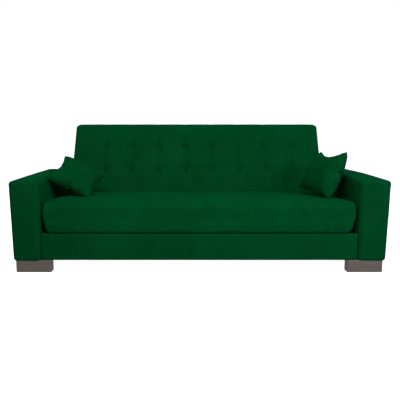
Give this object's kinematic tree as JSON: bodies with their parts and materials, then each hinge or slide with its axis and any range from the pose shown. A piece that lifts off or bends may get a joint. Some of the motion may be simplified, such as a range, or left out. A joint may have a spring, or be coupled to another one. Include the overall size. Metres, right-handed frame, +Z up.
{
  "type": "futon sofa bed",
  "caption": "Click-clack futon sofa bed with square padded arms, tufted folding back, lift-up seat over a storage box, block feet and throw pillows.",
  "frame": {"origin": "on the floor, under the middle of the whole sofa's box with the back up and the seat down", "axes": "+X along the sofa towards the arm on the right as seen from the front, -Y towards the sitter's feet (the front), +Z up"},
  "size_m": [2.256, 0.9901, 0.8951],
  "materials": {
    "suede": "matte",
    "timber": "matte",
    "hardboard": "matte",
    "foot_wood": "satin",
    "zinc_steel": "satin",
    "foam": "matte",
    "webbing": "matte",
    "lining": "matte",
    "rubber": "matte",
    "glide_plastic": "matte"
  },
  "bodies": {
    "base": {"front_board": "timber", "front_rail_cover": "suede", "side_board_left": "timber", "side_board_right": "timber", "rear_board": "timber", "bottom_panel": "hardboard", "bottom_crossbars": "timber", "panel_cleats": "timber", "corner_blocks": "timber", "front_foot_left": "foot_wood", "front_foot_right": "foot_wood", "rear_foot_left": "foot_wood", "rear_foot_right": "foot_wood", "foot_glides": "glide_plastic", "foot_bolts": "zinc_steel", "seat_bumpers": "rubber", "arm_cover_left": "suede", "arm_cover_right": "suede", "arm_posts_left": "timber", "arm_posts_right": "timber", "arm_rails_left": "timber", "arm_rails_right": "timber", "arm_panels_left": "hardboard", "arm_panels_right": "hardboard", "arm_bolts": "zinc_steel", "pivot_bracket_left": "zinc_steel", "pivot_bracket_right": "zinc_steel", "bracket_screws": "zinc_steel", "pivot_pin_left": "zinc_steel", "pivot_pin_right": "zinc_steel", "pivot_washers": "zinc_steel"},
    "seat": {"seat_cover": "suede", "seat_foam": "foam", "seat_rail_front": "timber", "seat_rail_rear": "timber", "seat_bearers": "timber", "seat_slats": "timber", "seat_underside": "lining", "seat_plate_left": "zinc_steel", "seat_plate_right": "zinc_steel", "seat_plate_screws": "zinc_steel", "pawl_pins": "zinc_steel", "pawl_springs": "zinc_steel"},
    "back": {"back_cover": "suede", "back_foam": "foam", "back_rail_top": "timber", "back_rail_bottom": "timber", "back_uprights": "timber", "back_webbing": "webbing", "back_rear_cover": "suede", "back_plate_left": "zinc_steel", "back_plate_right": "zinc_steel", "back_plate_screws": "zinc_steel", "tuft_ties": "webbing"},
    "pawl_left": {"pawl_left": "zinc_steel"},
    "pawl_right": {"pawl_right": "zinc_steel"},
    "pillow_left": {"pillow_cover_left": "suede", "pillow_filling_left": "foam"},
    "pillow_right": {"pillow_cover_right": "suede", "pillow_filling_right": "foam"}
  },
  "joints": [
    {"name": "seat_lift", "type": "hinge", "parent": "base", "child": "seat", "pos_m": [0, 0.20192, 0.338], "axis": [-1, 0, 0], "range_deg": [0, 20]},
    {"name": "back_recline", "type": "hinge", "parent": "seat", "child": "back", "pos_m": [0, 0.20192, 0.338], "axis": [-1, 0, 0], "range_deg": [0, 71]},
    {"name": "pawl_release_left", "type": "hinge", "parent": "seat", "child": "pawl_left", "pos_m": [-0.9425, 0.15272, 0.3546], "axis": [-1, 0, 0], "range_deg": [0, 15], "stiffness_Nm_per_rad": 0.05, "springref_deg": -11.46},
    {"name": "pawl_release_right", "type": "hinge", "parent": "seat", "child": "pawl_right", "pos_m": [0.9425, 0.15272, 0.3546], "axis": [-1, 0, 0], "range_deg": [0, 15], "stiffness_Nm_per_rad": 0.05, "springref_deg": -11.46},
    {"name": "pillow_left_lift", "type": "slide", "parent": "seat", "child": "pillow_left", "axis": [0, 0, 1], "range_m": [0, 0.35]},
    {"name": "pillow_right_lift", "type": "slide", "parent": "seat", "child": "pillow_right", "axis": [0, 0, 1], "range_m": [0, 0.35]}
  ]
}
